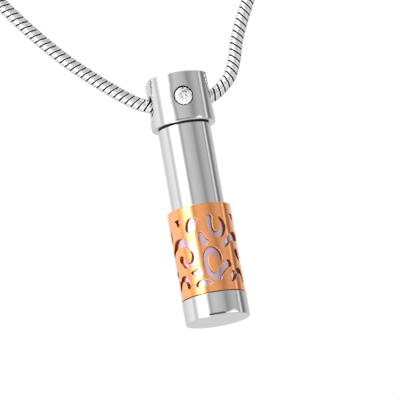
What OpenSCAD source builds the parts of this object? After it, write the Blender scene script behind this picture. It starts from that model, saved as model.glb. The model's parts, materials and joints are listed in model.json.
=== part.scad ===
// Keepsake urn pendant on a snake chain. Millimetres, +Z up. The origin is the place at the nape
// that bears on the neck. The pendant hangs below it, its stone faces -Y, and the chain runs along X.

/* [Chain] */
// Thickness of the snake chain
chain_d = 2.2; // [1.6:0.1:2.4]

/* [Clasp] */
// Length of the clasp
clasp_l = 12; // [9:0.5:16]
// Thickness of the clasp at its middle
clasp_d = 3.6; // [3.2:0.1:5]
// Depth of the socket that holds each end of the chain
socket_l = 3; // [2:0.5:4]
// Wall round each socket
socket_wall = 0.35; // [0.25:0.05:0.6]

/* [Cap] */
// Diameter of the cap
cap_d = 10.6; // [10:0.1:12]
// Height of the cap, without its thread
cap_h = 8.15; // [7.6:0.05:10]
// Depth of the flat on each side
flat_depth = 0.5; // [0.2:0.05:0.8]
// Length of each flat, from the cap's top to where it starts to run out
flat_l = 4.8; // [3.5:0.1:5.2]
// Radius of the hollow in which each flat runs out
flat_sweep = 4.7; // [3:0.1:6]
// Room between the chain and the wall of the cap's eye
eye_room = 0.7; // [0.6:0.05:0.9]
// Distance from the cap's top to the middle of the eye
eye_drop = 4.05; // [3.6:0.05:4.4]
// Rounding of the cap's lower rim
lip_round = 0.2; // [0.1:0.05:0.7]
// Length of the thread that enters the tube
thread_l = 4; // [2.5:0.5:6]

/* [Seal] */
// Thickness of the seal between the cap and the tube
seal_h = 0.15; // [0.1:0.05:0.4]
// Width of the seal's ring
seal_w = 0.6; // [0.4:0.05:0.8]

/* [Stone] */
// Diameter of the stone
stone_d = 2.9; // [2.4:0.1:3.1]
// Width of the table, as a share of the stone
table_share = 0.55; // [0.5:0.01:0.62]
// Height of the crown, as a share of the stone
crown_share = 0.15; // [0.12:0.01:0.17]
// Depth of the pavilion, as a share of the stone
pavilion_share = 0.42; // [0.4:0.01:0.44]
// Room round the stone in its seat
seat_room = 0.19; // [0.06:0.01:0.22]

/* [Tube] */
// Diameter of the tube
tube_d = 8.66; // [8.2:0.02:8.9]
// Wall of the tube
tube_wall = 0.8; // [0.6:0.05:1]
// Length of bare tube between the cap and the sleeve
tube_shown = 14.05; // [8:0.05:20]

/* [Foot] */
// Diameter of the foot
foot_d = 10.6; // [10:0.1:12]
// Height of the foot
foot_h = 3.8; // [2.5:0.1:5]
// Thickness of the floor under the ash chamber
floor_h = 1.6; // [1:0.1:2.2]

/* [Sleeve] */
// Diameter of the tube's seat under the sleeve
seat_d = 9.46; // [9:0.02:9.6]
// Wall of the pierced sleeve
sleeve_wall = 0.45; // [0.3:0.05:0.6]
// Height of the sleeve
sleeve_h = 14.7; // [12:0.1:18]

/* [Finish] */
// Chamfer on turned edges
edge = 0.12; // [0.05:0.01:0.2]
// Play of what is pushed together
fit_gap = 0.05; // [0.03:0.01:0.06]

/* [Hidden] */
$fn = 96;

// Route of the chain, from one end to the other: x, and height above the middle of the eye. Its ends
// lie in the clasp's sockets.
nape_rise = 192;
chain_end = clasp_l / 2 - socket_l + 2 * fit_gap;
beside_clasp = clasp_l / 2 + 1;
route = [
    [-chain_end, nape_rise], [-beside_clasp, nape_rise], [-15, 191], [-25, 188.2], [-35, 183.6],
    [-44, 177], [-51.5, 168.5], [-57.5, 158], [-61.5, 146], [-63.6, 132.5], [-63.9, 119],
    [-62.6, 106], [-60.2, 93.5], [-56.6, 80], [-51.8, 66.5], [-46.2, 54], [-40, 42], [-33.8, 31.5],
    [-27.8, 22.6], [-22.4, 15.4], [-17.8, 10.1], [-14, 6.5], [-10.9, 3.87], [-8.4, 1.87], [-6.4, 0.62],
    [-4.6, -0.05], [-2.6, -0.38], [-0.4, -0.5], [1.8, -0.42], [3.8, -0.1], [5.6, 0.5], [7.3, 1.62],
    [8.9, 3.2], [10.15, 5.8], [11.2, 9.2], [13, 13.2], [16, 18.7], [20.4, 25.5], [25.7, 33.5],
    [31.6, 42.5], [38, 53], [44.6, 65], [51, 78.5], [56.5, 93], [60.8, 108], [63.4, 122],
    [63.6, 136], [61.3, 149], [56.8, 160.5], [50.6, 170], [43, 178], [34, 184.2], [24.5, 188.6],
    [15, 191], [beside_clasp, nape_rise], [chain_end, nape_rise]
];

// Places along the height
eye_z = clasp_d / 2 - nape_rise;
cap_top = eye_z + eye_drop;
cap_low = cap_top - cap_h;
seal_low = cap_low - fit_gap - seal_h;
tube_top = seal_low - fit_gap;
thread_low = cap_low - thread_l;
sleeve_top = cap_low - tube_shown;
sleeve_low = sleeve_top - sleeve_h;
foot_top = sleeve_low - fit_gap;
foot_low = foot_top - foot_h;
chamber_low = foot_low + floor_h;

// Radii that follow from the sizes above
eye_r = chain_d / 2 + eye_room;
chamber_r = tube_d / 2 - tube_wall;
thread_r = chamber_r - fit_gap;
seal_r = chamber_r + seal_w;
sleeve_in_r = seat_d / 2 + fit_gap;
sleeve_r = sleeve_in_r + sleeve_wall;
flat_x = cap_d / 2 - flat_depth;
past = 1;

// Points on an arc about [x, y], from one angle to the other.
function arc(x, y, r, from, to, steps) =
    [for (i = [0:steps]) let (a = from + (to - from) * i / steps) [x + r * cos(a), y + r * sin(a)]];

// A point on the smooth curve through the rows, at the share t of the span that starts at row i.
function row(rows, i) =
    i < 0 ? 2 * rows[0] - rows[1]
    : i >= len(rows) ? 2 * rows[len(rows) - 1] - rows[len(rows) - 2]
    : rows[i];
function on_curve(rows, i, t) =
    let (a = row(rows, i - 1), b = row(rows, i), c = row(rows, i + 1), d = row(rows, i + 2))
    0.5 * (2 * b + (c - a) * t + (2 * a - 5 * b + 4 * c - d) * t * t
        + (3 * b - a - 3 * c + d) * t * t * t);
function smooth(rows, per_span) = concat(
    [for (i = [0:len(rows) - 2], k = [0:per_span - 1]) on_curve(rows, i, k / per_span)],
    [rows[len(rows) - 1]]);

// Faces of a closed tube whose rings of n points follow each other, the ends closed by one face each.
function tube_faces(rings, n) = concat(
    [[for (k = [0:n - 1]) k]],
    [for (i = [0:rings - 2], k = [0:n - 1])
        [i * n + k, (i + 1) * n + k, (i + 1) * n + (k + 1) % n, i * n + (k + 1) % n]],
    [[for (k = [n - 1:-1:0]) (rings - 1) * n + k]]);

// The snake chain as a tube of eight sides round its route. Far from the pendant each span of the
// route holds one ring, and near it, where the chain bends, two.
chain_sides = 8;
near_from = 19;
near_to = 36;
chain_path = [for (i = [0:len(route) - 1], k = [0:1])
    if (i < len(route) - 1 && (k == 0 || (i >= near_from && i < near_to))) on_curve(route, i, k / 2)];
chain_line = concat(chain_path, [route[len(route) - 1]]);

module chain() {
    last = len(chain_line) - 1;
    rings = [for (i = [0:last])
        let (way = chain_line[min(i + 1, last)] - chain_line[max(i - 1, 0)], side = way / norm(way))
        for (k = [0:chain_sides - 1])
            let (a = 360 * k / chain_sides, out = chain_d / 2 * cos(a))
            [chain_line[i][0] - side[1] * out, chain_d / 2 * sin(a),
                eye_z + chain_line[i][1] + side[0] * out]];
    color("silver") polyhedron(rings, tube_faces(last + 1, chain_sides));
}

// The clasp is a plain barrel along X with a collar round each end of the chain.
module clasp() {
    collar_r = chain_d / 2 + fit_gap + socket_wall;
    collar_l = socket_l * 0.6;
    half = clasp_l / 2;
    shoulder = half - collar_l;
    slope = clasp_d / 2 - collar_r;
    outline = [[0, -half], [collar_r - edge, -half], [collar_r, -half + edge], [collar_r, -shoulder],
        [clasp_d / 2, -shoulder + slope], [clasp_d / 2, shoulder - slope], [collar_r, shoulder],
        [collar_r, half - edge], [collar_r - edge, half], [0, half]];
    color("silver") translate([0, 0, clasp_d / 2]) rotate([0, 90, 0]) difference() {
        rotate_extrude() polygon(outline);
        for (s = [-1, 1])
            translate([0, 0, s * (half - socket_l / 2 + past / 2)])
                cylinder(r = chain_d / 2 + fit_gap, h = socket_l + past, center = true);
    }
}

// One flat of the cap, with the round hollow in which it runs out.
module cap_flat() {
    low = cap_top - flat_l;
    translate([flat_x, -cap_d / 2, low]) cube([cap_d, cap_d, flat_l + past]);
    translate([flat_x + flat_sweep, 0, low]) rotate([90, 0, 0])
        cylinder(r = flat_sweep, h = cap_d, center = true);
}

// The stone's place: the girdle lies just under the cap's wall.
stone_r = stone_d / 2;
girdle_share = 0.03;
girdle_h = girdle_share * stone_d;
girdle_y = sqrt(pow(cap_d / 2, 2) - pow(stone_r, 2)) - edge;

module stone_seat() {
    seat_r = stone_r + seat_room;
    depth = pavilion_share * stone_d * seat_r / stone_r;
    translate([0, -girdle_y + girdle_h, eye_z]) rotate([90, 0, 0]) {
        cylinder(r = seat_r, h = cap_d);
        translate([0, 0, -depth]) cylinder(r1 = 0, r2 = seat_r, h = depth);
    }
}

module cap() {
    r = cap_d / 2;
    outline = concat(
        [[0, thread_low], [thread_r - edge, thread_low], [thread_r, thread_low + edge],
            [thread_r, cap_low], [r - lip_round, cap_low]],
        arc(r - lip_round, cap_low + lip_round, lip_round, -75, 0, 5),
        [[r, cap_top - edge], [r - edge, cap_top], [0, cap_top]]);
    color("gainsboro") difference() {
        rotate_extrude() polygon(outline);
        cap_flat();
        mirror([1, 0, 0]) cap_flat();
        translate([0, 0, eye_z]) rotate([0, 90, 0]) cylinder(r = eye_r, h = cap_d + past, center = true);
        stone_seat();
    }
}

module seal() {
    color("black") translate([0, 0, seal_low]) difference() {
        cylinder(r = seal_r, h = seal_h);
        translate([0, 0, -past / 2]) cylinder(r = chamber_r, h = seal_h + past);
    }
}

// A round brilliant: a table, eight stars, eight kites and sixteen small facets over the girdle,
// sixteen small facets and eight mains under it. The heights put each kite and main in one plane.
module stone() {
    mains = 8;
    star_share = 0.76;
    low_share = 0.3;
    step = 360 / mains;
    table_r = stone_r * table_share;
    crown_h = stone_d * crown_share;
    pavilion_h = stone_d * pavilion_share;
    star_r = stone_r * star_share;
    low_r = stone_r * low_share;
    crown_mid = crown_h * (stone_r - star_r * cos(step / 2)) / (stone_r - table_r);
    low_mid = pavilion_h * (stone_r - low_r * cos(step / 2)) / stone_r;
    points = concat(
        [for (i = [0:mains - 1]) [table_r * cos(i * step), table_r * sin(i * step), crown_h]],
        [for (i = [0:mains - 1])
            [star_r * cos((i + 0.5) * step), star_r * sin((i + 0.5) * step), crown_mid]],
        [for (z = [0, -girdle_h], i = [0:2 * mains - 1])
            [stone_r * cos(i * step / 2), stone_r * sin(i * step / 2), z]],
        [for (i = [0:mains - 1])
            [low_r * cos((i + 0.5) * step), low_r * sin((i + 0.5) * step), -girdle_h - low_mid]],
        [[0, 0, -girdle_h - pavilion_h]]);
    star = mains;
    top = 2 * mains;
    low = 4 * mains;
    lower = 6 * mains;
    tip = 7 * mains;
    faces = concat(
        [[for (i = [mains - 1:-1:0]) i]],
        [for (i = [0:mains - 1]) let (n = (i + 1) % mains) [i, n, star + i]],
        [for (i = [0:mains - 1]) let (b = (i + mains - 1) % mains) [i, star + i, top + 2 * i, star + b]],
        [for (i = [0:mains - 1]) [star + i, top + 2 * i + 1, top + 2 * i]],
        [for (i = [0:mains - 1]) [star + i, top + (2 * i + 2) % (2 * mains), top + 2 * i + 1]],
        [for (i = [0:2 * mains - 1]) let (n = (i + 1) % (2 * mains)) [top + i, top + n, low + n, low + i]],
        [for (i = [0:mains - 1]) [lower + i, low + 2 * i, low + 2 * i + 1]],
        [for (i = [0:mains - 1]) [lower + i, low + 2 * i + 1, low + (2 * i + 2) % (2 * mains)]],
        [for (i = [0:mains - 1]) let (b = (i + mains - 1) % mains) [tip, lower + b, low + 2 * i, lower + i]]);
    color("white") translate([0, -girdle_y, eye_z]) rotate([90, 0, 0]) polyhedron(points, faces);
}

// Tube, ash chamber and foot, turned from one bar.
module urn_tube() {
    r = tube_d / 2;
    foot_r = foot_d / 2;
    seat_r = seat_d / 2;
    seat_top = sleeve_top - edge;
    tip_share = 0.25;
    tip_h = chamber_r * tip_share;
    outline = [[0, foot_low], [foot_r - edge, foot_low], [foot_r, foot_low + edge],
        [foot_r, foot_top - edge], [foot_r - edge, foot_top], [seat_r, foot_top],
        [seat_r, seat_top - edge], [seat_r - edge, seat_top], [r, seat_top], [r, tube_top - edge],
        [r - edge, tube_top], [chamber_r + edge, tube_top], [chamber_r, tube_top - edge],
        [chamber_r, chamber_low + tip_h], [0, chamber_low]];
    color("gainsboro") rotate_extrude() polygon(outline);
}

// The scroll pattern repeats three times round the sleeve. It has a stroke to each opening or part of
// one. Each row holds the angle in a repeat of 120 degrees, the depth below the sleeve's top and the
// stroke's width, the last two in hundredths of the sleeve's height.
repeats = 3;
strokes = [
    // comma under the upper border
    [[-51, 13, 1.2], [-45, 14.2, 4], [-41.5, 15, 5]],
    [[-41.8, 14.8, 5], [-44.5, 17.2, 4.6], [-43.5, 20, 2]],
    // drop with its horn
    [[-16, 19.2, 10.4], [-18.3, 22.4, 11.6], [-20.4, 25.3, 10.4]],
    [[-11, 17.5, 6], [-7, 16.8, 3], [-3.5, 16.8, 0.8]],
    // cup
    [[18, 16.6, 6.8], [16.6, 22, 6.4], [16.8, 28.5, 6], [20, 34, 6], [27, 36.4, 6.6], [34, 36.3, 7],
        [39.8, 33.2, 7.6], [43, 27.8, 8.8], [42.4, 22.5, 6.5], [38.6, 17.6, 2.6]],
    // bean with its barb
    [[-2.5, 33.8, 5], [-1, 38.5, 7.8], [0.8, 43.2, 8.6]],
    [[4, 41.5, 4], [8, 41.3, 2], [11.5, 42.3, 0.8]],
    // long scroll that curls round into a ball
    [[-82.5, 48.5, 5.5], [-77, 46.8, 7], [-71, 44.2, 6], [-64, 41, 7.5], [-57, 38.8, 9.5],
        [-50, 38.4, 10.6], [-42, 38.6, 9.8], [-34, 40.3, 8.5], [-27, 44.3, 8], [-21, 49, 7.6],
        [-19, 54, 7.4], [-21, 59.5, 7], [-27, 63.8, 6], [-34, 65, 5.2], [-42, 64.6, 5.4],
        [-47.5, 61.5, 6], [-50.3, 56.6, 8.6]],
    // hook and its tail
    [[25.8, 64.6, 4.2], [24.3, 60.5, 6.4], [21, 56.3, 7], [15, 53.6, 7.6], [8, 53.6, 7.8],
        [2, 57, 6.8], [-1.6, 62.5, 6], [-2, 69, 5.6], [0.5, 76, 6], [6, 81.2, 7], [12, 84, 8],
        [16, 84.6, 7.6]],
    [[15, 83, 8.4], [22, 79.6, 8], [29, 75, 7.4], [36, 71.6, 7.4], [42, 69.6, 8.2]],
    // leaf between the scroll and the hook
    [[-31.5, 74, 2.2], [-26, 75.2, 6], [-20, 76, 9.6], [-16.8, 76.4, 7.6]],
    // bean over the lower border
    [[-23, 89.2, 4.6], [-18.5, 88, 6.6], [-12, 87.6, 7], [-5, 88.6, 5.4], [-0.5, 89.4, 4]],
    // arch
    [[-69.5, 87.5, 1.6], [-65.5, 83, 3.2], [-61, 78.8, 5.4], [-55, 77.6, 6.4], [-49, 78.6, 6.4],
        [-44.5, 82, 6], [-43, 86.3, 5.4], [-43.5, 88.6, 4.6]],
    // slot beside the arch
    [[49, 79.5, 3.6], [47, 83.5, 5], [44, 87.8, 5.2]]
];
// Turn of the pattern from the stone's side
pattern_turn = -11.5;
// Cuts run this far past both faces of the wall
cut_past = 0.3;

// A stroke's row as lengths on the unrolled sleeve: along the round, down from the top, half width.
arc_mm = PI * sleeve_r / 180;
function laid(p) = [p[0] * arc_mm, p[1] * sleeve_h / 100, p[2] * sleeve_h / 200];

// The sections of a stroke, as pairs of points left and right of its line, with rounded ends.
function sections(rows) =
    let (line = [for (p = smooth(rows, 2)) laid(p)], last = len(line) - 1,
        ways = [for (i = [0:last]) let (w = line[min(i + 1, last)] - line[max(i - 1, 0)])
            [w[0], w[1]] / norm([w[0], w[1]])])
    concat(
        [for (a = [70, 35]) section(line[0] - [ways[0][0], ways[0][1], 0] * line[0][2] * sin(a),
            ways[0], line[0][2] * cos(a))],
        [for (i = [0:last]) section(line[i], ways[i], line[i][2])],
        [for (a = [35, 70]) section(line[last] + [ways[last][0], ways[last][1], 0] * line[last][2] * sin(a),
            ways[last], line[last][2] * cos(a))]);
function section(p, way, half) =
    [[p[0] - way[1] * half, p[1] + way[0] * half], [p[0] + way[1] * half, p[1] - way[0] * half]];

// A point of the unrolled sleeve, wrapped round it at radius r.
function wrapped(p, r, turn) =
    let (a = p[0] / arc_mm + turn) [r * sin(a), -r * cos(a), sleeve_top - p[1]];

module stroke_cut(rows, turn) {
    cuts = sections(rows);
    low = sleeve_in_r - cut_past;
    high = sleeve_r + cut_past;
    points = [for (s = cuts) for (p = [[s[0], low], [s[1], low], [s[1], high], [s[0], high]])
        wrapped(p[0], p[1], turn)];
    polyhedron(points, tube_faces(len(cuts), 4));
}

module filigree_sleeve() {
    outline = [[sleeve_in_r, sleeve_low], [sleeve_r - edge, sleeve_low], [sleeve_r, sleeve_low + edge],
        [sleeve_r, sleeve_top - edge], [sleeve_r - edge, sleeve_top], [sleeve_in_r, sleeve_top]];
    color("lightsalmon") difference() {
        rotate_extrude() polygon(outline);
        for (k = [0:repeats - 1], rows = strokes) stroke_cut(rows, pattern_turn + 360 * k / repeats);
    }
}

chain();
clasp();
cap();
seal();
stone();
urn_tube();
filigree_sleeve();
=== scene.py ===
"""Keepsake urn pendant on a snake chain: a screw-capped steel tube in a pierced gold sleeve."""

import json
import math

import bpy
import numpy as np
from bpy.props import FloatProperty, FloatVectorProperty, PointerProperty
from mathutils import Matrix, Vector


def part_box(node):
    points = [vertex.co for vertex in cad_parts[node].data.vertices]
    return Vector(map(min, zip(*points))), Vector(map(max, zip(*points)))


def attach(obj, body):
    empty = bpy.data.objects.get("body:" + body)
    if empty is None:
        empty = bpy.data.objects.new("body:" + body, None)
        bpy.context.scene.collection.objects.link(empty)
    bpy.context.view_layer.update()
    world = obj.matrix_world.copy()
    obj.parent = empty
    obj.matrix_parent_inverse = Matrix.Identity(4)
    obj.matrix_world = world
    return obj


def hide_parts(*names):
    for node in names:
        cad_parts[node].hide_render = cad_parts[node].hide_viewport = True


bl_info = {
    "name": "Keepsake urn pendant",
    "version": (1, 0, 0),
    "blender": (4, 5, 0),
    "location": "View3D > Sidebar > Pendant",
    "description": "Builds a screw-capped urn pendant with a pierced sleeve on its snake chain",
    "category": "Object",
}

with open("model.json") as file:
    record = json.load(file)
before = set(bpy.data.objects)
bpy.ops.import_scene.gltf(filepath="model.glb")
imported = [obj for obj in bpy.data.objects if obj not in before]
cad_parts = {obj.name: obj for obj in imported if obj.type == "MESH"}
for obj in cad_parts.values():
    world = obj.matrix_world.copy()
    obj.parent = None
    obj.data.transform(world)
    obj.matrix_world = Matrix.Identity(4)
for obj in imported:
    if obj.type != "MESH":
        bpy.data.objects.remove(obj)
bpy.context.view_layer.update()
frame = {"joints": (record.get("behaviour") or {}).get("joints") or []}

# Places and radii that the solids already have, in metres
CAP_LOW, CAP_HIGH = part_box("cap")
TUBE_LOW, TUBE_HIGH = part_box("urn_tube")
SLEEVE_LOW, SLEEVE_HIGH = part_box("filigree_sleeve")
SEAL_LOW, SEAL_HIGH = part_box("seal")
CLASP_LOW, CLASP_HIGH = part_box("clasp")
STONE_LOW, STONE_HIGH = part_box("stone")
SWING = next(j for j in frame["joints"] if j["name"] == "pendant_swing")
EYE_Z = SWING["pos_m"][2]
MM = 0.001
GAP = 0.05 * MM  # between pieces
THREAD_LENGTH = 4.4 * MM  # in the tube's mouth
DRILL_CONE = 0.25  # depth of the ash chamber's end, as a share of its radius

# How finely the pieces are made
JOINED = 1e-8  # size of the cells whose points become one
OFF_BORDER = 0.37  # share of a cell that keeps round places off the cells' borders
LEAST_CUT = 0.04  # from a grid point to a cut, as a share of the grid's step
QUARTER = np.linspace(0, math.pi / 2, 5)  # the rows of a rounded edge, as angles
CUT_QUARTER = np.linspace(0, math.pi / 2, 4)  # the same for the scroll's openings
HOLE_TURN = 1e-4  # keeps a hole's even ring from standing at the angles of its mouth
HOLE_SIDES, LINK_SIDES, SPAN_STEPS = 96, 18, 40
CAP_ROWS, PLUG_ROWS, BORE_ROWS, SLEEVE_ROWS = 90, 70, 110, 142
TUBE_COLUMNS, SEAL_COLUMNS, CLASP_COLUMNS, SLEEVE_COLUMNS = 300, 180, 120, 104

# Route of the chain in millimetres: x, and height above the middle of the cap's eye
ROUTE = [
    (-3.1, 192), (-7, 192), (-15, 191), (-25, 188.2), (-35, 183.6), (-44, 177), (-51.5, 168.5),
    (-57.5, 158), (-61.5, 146), (-63.6, 132.5), (-63.9, 119), (-62.6, 106), (-60.2, 93.5),
    (-56.6, 80), (-51.8, 66.5), (-46.2, 54), (-40, 42), (-33.8, 31.5), (-27.8, 22.6),
    (-22.4, 15.4), (-17.8, 10.1), (-14, 6.5), (-10.9, 3.87), (-8.4, 1.87), (-6.4, 0.62),
    (-4.6, -0.05), (-2.6, -0.38), (-0.4, -0.5), (1.8, -0.42), (3.8, -0.1), (5.6, 0.5), (7.3, 1.62),
    (8.9, 3.2), (10.15, 5.8), (11.2, 9.2), (13, 13.2), (16, 18.7), (20.4, 25.5), (25.7, 33.5),
    (31.6, 42.5), (38, 53), (44.6, 65), (51, 78.5), (56.5, 93), (60.8, 108), (63.4, 122),
    (63.6, 136), (61.3, 149), (56.8, 160.5), (50.6, 170), (43, 178), (34, 184.2), (24.5, 188.6),
    (15, 191), (7, 192), (3.1, 192),
]

# The scroll pattern, a stroke to each opening or part of one: angle in a repeat of 120 degrees,
# depth below the sleeve's top and width, the last two in hundredths of the sleeve's height.
STROKES = {
    "comma": [(-51, 13, 1.2), (-45, 14.2, 4), (-41.5, 15, 5)],
    "comma tail": [(-41.8, 14.8, 5), (-44.5, 17.2, 4.6), (-43.5, 20, 2)],
    "drop": [(-16, 19.2, 10.4), (-18.3, 22.4, 11.6), (-20.4, 25.3, 10.4)],
    "drop horn": [(-11, 17.5, 6), (-7, 16.8, 3), (-3.5, 16.8, 0.8)],
    "cup": [
        (18, 16.6, 6.8), (16.6, 22, 6.4), (16.8, 28.5, 6), (20, 34, 6), (27, 36.4, 6.6),
        (34, 36.3, 7), (39.8, 33.2, 7.6), (43, 27.8, 8.8), (42.4, 22.5, 6.5), (38.6, 17.6, 2.6),
    ],
    "bean": [(-2.5, 33.8, 5), (-1, 38.5, 7.8), (0.8, 43.2, 8.6)],
    "bean barb": [(4, 41.5, 4), (8, 41.3, 2), (11.5, 42.3, 0.8)],
    "long scroll": [
        (-82.5, 48.5, 5.5), (-77, 46.8, 7), (-71, 44.2, 6), (-64, 41, 7.5), (-57, 38.8, 9.5),
        (-50, 38.4, 10.6), (-42, 38.6, 9.8), (-34, 40.3, 8.5), (-27, 44.3, 8), (-21, 49, 7.6),
        (-19, 54, 7.4), (-21, 59.5, 7), (-27, 63.8, 6), (-34, 65, 5.2), (-42, 64.6, 5.4),
        (-47.5, 61.5, 6), (-50.3, 56.6, 8.6),
    ],
    "hook": [
        (25.8, 64.6, 4.2), (24.3, 60.5, 6.4), (21, 56.3, 7), (15, 53.6, 7.6), (8, 53.6, 7.8),
        (2, 57, 6.8), (-1.6, 62.5, 6), (-2, 69, 5.6), (0.5, 76, 6), (6, 81.2, 7), (12, 84, 8),
        (16, 84.6, 7.6),
    ],
    "hook tail": [(15, 83, 8.4), (22, 79.6, 8), (29, 75, 7.4), (36, 71.6, 7.4), (42, 69.6, 8.2)],
    "leaf": [(-31.5, 74, 2.2), (-26, 75.2, 6), (-20, 76, 9.6), (-16.8, 76.4, 7.6)],
    "low bean": [
        (-23, 89.2, 4.6), (-18.5, 88, 6.6), (-12, 87.6, 7), (-5, 88.6, 5.4), (-0.5, 89.4, 4),
    ],
    "arch": [
        (-69.5, 87.5, 1.6), (-65.5, 83, 3.2), (-61, 78.8, 5.4), (-55, 77.6, 6.4), (-49, 78.6, 6.4),
        (-44.5, 82, 6), (-43, 86.3, 5.4), (-43.5, 88.6, 4.6),
    ],
    "slot": [(49, 79.5, 3.6), (47, 83.5, 5), (44, 87.8, 5.2)],
}
REPEATS = 3
PATTERN_TURN = -11.5


def length(name, description, default):
    """A length that a user may change, in metres."""
    return FloatProperty(name=name, description=description, default=default, unit="LENGTH")


def colour(name, description, default):
    """A colour that a user may change."""
    return FloatVectorProperty(
        name=name, description=description, subtype="COLOR", size=3, default=default)


class PendantSizes(bpy.types.PropertyGroup):
    """Sizes of the cap, tube, sleeve and stone that the solids don't say by their boxes."""

    edge: length("Edge", "Rounding of turned edges", 0.00012)
    lip_round: length("Lip", "Rounding of the cap's lower rim", 0.0002)
    rim_reach: length("Rim reach", "Height over which polishing has rounded a wall off", 0.0008)
    rim_lean: FloatProperty(
        name="Rim lean", description="Angle that the wall has turned inwards at a rim",
        default=math.radians(6), subtype="ANGLE")
    shoulder_z: length(
        "Shoulder", "Height at which the cap's thread meets its rim", SEAL_HIGH.z + 0.00001)
    flat_depth: length("Flat depth", "Depth of the cap's side flats", 0.0005)
    flat_length: length("Flat length", "Length of each flat from the cap's top", 0.0048)
    flat_sweep: length("Flat run-out", "Radius in which each flat runs out", 0.0047)
    flat_rounding: length("Flat edge", "Reach over which a flat blends into the wall", 0.00006)
    eye_radius: length("Eye", "Radius of the eye through which the chain runs", 0.0018)
    eye_rounding: length("Eye rounding", "Rounding of the eye's mouths", 0.00014)
    seat_radius: length("Seat", "Radius of the stone's seat", 0.00164)
    seat_rounding: length("Seat rounding", "Rounding of the seat's edge", 0.00005)
    dish_depth: length("Dish depth", "Depth of the shallow dish round the stone", 0.00003)
    dish_reach: length("Dish reach", "Distance over which the dish fades out", 0.0007)
    thread_pitch: length("Thread pitch", "Pitch of the cap's thread", 0.0008)
    thread_depth: length("Thread depth", "Depth of the cap's thread", 0.00022)
    chamber_radius: length("Chamber", "Radius of the ash chamber", 0.00353)
    chamber_floor: length("Chamber floor", "Thickness under the ash chamber", 0.0016)
    tube_radius: length("Tube", "Outer radius of the tube", 0.00433)
    sleeve_seat: length("Sleeve seat", "Radius of the tube under the sleeve", 0.00473)
    sleeve_bore: length("Sleeve bore", "Inner radius of the sleeve", 0.00478)
    hole_rounding: length("Piercing edge", "Rounding of the scroll's openings", 0.00012)


class ChainSizes(bpy.types.PropertyGroup):
    """Sizes of the snake chain's links and of the clasp."""

    radius: length("Chain radius", "Outer radius of the snake chain", 0.0011)
    pitch: length("Link pitch", "Distance between links", 0.00103)
    lean: length("Link lean", "Length by which one side of a link leads its middle", 0.0005)
    socket_length: length("Socket", "Depth to which the chain enters the clasp", 0.003)
    socket_wall: length("Socket wall", "Wall round each end of the chain", 0.00035)


class ColoursAndPaintedLight(bpy.types.PropertyGroup):
    """Colours of the metals, the stone, the seal and the floor, and of painted light: the painted
    reflection and shade on the steel under the sleeve, the gold with painted shade, and the painted
    shadow in the holes.
    """

    steel: colour("Steel", "Polished steel", (0.62, 0.62, 0.63))
    # Painted reflection and shade: the steel's colour where the sleeve surrounds the tube
    painted_sleeve_reflection: colour("Steel behind the sleeve", "Steel seen through it", (0.72, 0.52, 0.58))
    gold: colour("Rose gold", "Polished rose gold plate", (1.0, 0.39, 0.13))
    # Painted shade: darker gold for the openings' walls and the sleeve's lower edge
    painted_shade_gold: colour("Pierced edges", "Unpolished gold inside the openings", (0.35, 0.1, 0.035))
    stone: colour("Stone", "Clear stone", (0.98, 0.99, 1.0))
    seal: colour("Seal", "Black seal", (0.012, 0.012, 0.012))
    # Painted shadow of the stone's seat and of the chain's eye
    shadow: colour("Seat", "Blackened seat of the stone", (0.006, 0.006, 0.007))
    floor: colour("Floor", "Pale floor under the pendant", (0.82, 0.82, 0.82))


def smooth_rows(rows, per_span):
    """The smooth curve through the rows: on each span the cubic whose slope at a row is half the
    difference of its two neighbours. Past each end the rows go on by their last step."""
    rows = np.asarray(rows, float)
    padded = np.vstack([2 * rows[0] - rows[1], rows, 2 * rows[-1] - rows[-2]])
    a, b, c, d = (padded[k:len(padded) - 3 + k, None, :] for k in range(4))
    t = (np.arange(per_span) / per_span)[None, :, None]
    curve = 0.5 * (2 * b + (c - a) * t + (2 * a - 5 * b + 4 * c - d) * t**2
                   + (3 * b - a - 3 * c + d) * t**3)
    return np.vstack([curve.reshape(-1, rows.shape[1]), rows[-1:]])


def unit(vectors):
    """Each vector divided by its length."""
    sizes = np.linalg.norm(vectors, axis=-1, keepdims=True)
    return vectors / np.maximum(sizes, 1e-30)


def round_about(radius, angle, height):
    """The point at this radius from Z: radius sin angle, minus radius cos angle, height."""
    across, back = radius * np.sin(angle), -radius * np.cos(angle)
    return np.stack(np.broadcast_arrays(across, back, height), -1)


def patch(points, normals, triangles):
    """A stretch of surface: points, a normal to each and the triangles between them."""
    return (points.reshape(-1, 3), normals.reshape(-1, 3), np.asarray(triangles).reshape(-1, 3))


def grid_triangles(rows, columns):
    """Two triangles to each square of a grid, wound to face the way rows cross columns."""
    first = (np.arange(rows - 1)[:, None] * columns + np.arange(columns - 1)).ravel()
    beside, above, across = first + 1, first + columns, first + columns + 1
    return np.vstack([np.stack([first, beside, across], 1), np.stack([first, across, above], 1)])


def full_turn(columns):
    """Angles round the axis from half a turn before the front to half a turn past it."""
    return np.linspace(-math.pi, math.pi, columns + 1)


def turned(profile, angle):
    """A profile turned about Z. Each of its rows is a radius and a height, and has a normal. The
    profile runs with the metal on its left, so its normals point to the right."""
    places, ways = profile
    points = round_about(places[:, :1], angle, places[:, 1:])
    normals = round_about(ways[:, :1], angle, ways[:, 1:])
    return patch(points, normals, grid_triangles(len(places), len(angle)))


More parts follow.
